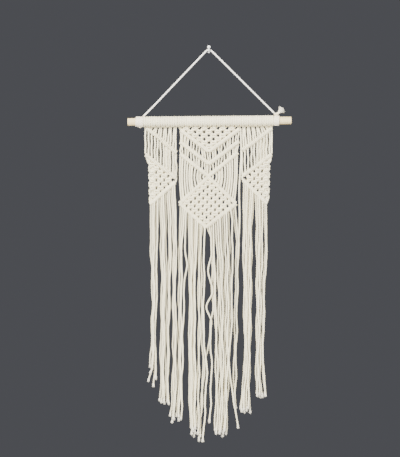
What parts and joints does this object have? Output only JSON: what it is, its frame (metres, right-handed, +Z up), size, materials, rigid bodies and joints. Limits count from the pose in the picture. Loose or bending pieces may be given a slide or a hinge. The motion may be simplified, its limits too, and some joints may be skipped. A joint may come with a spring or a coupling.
{
  "type": "macrame wall hanging with dowel rod and wall hook",
  "caption": "Macrame wall hanging: knotted cotton panels with a diamond net and a long fringe on a wooden dowel, hung by a cord from a small wall hook.",
  "frame": {"origin": "centre of the wall hook's flat back, on the wall plane", "axes": "+Z up along the hanging's length, +Y into the wall along the hook's back face normal, front towards -Y"},
  "size_m": [0.3486, 0.0237, 0.841],
  "materials": {
    "cotton": "natural cream twisted cotton cord, matte",
    "hanger_cotton": "off-white twisted cotton cord, matte",
    "pine": "pale sanded pine, unvarnished",
    "white_plastic": "smooth white"
  },
  "bodies": {
    "root": {"wall_hook": "white_plastic", "dowel": "pine", "hanger_cord": "hanger_cotton", "hanger_wrap": "hanger_cotton", "hanger_tie": "hanger_cotton", "left_panel": "cotton", "centre_panel": "cotton", "right_panel": "cotton", "left_fringe": "cotton", "centre_fringe": "cotton", "right_fringe": "cotton"}
  },
  "joints": []
}
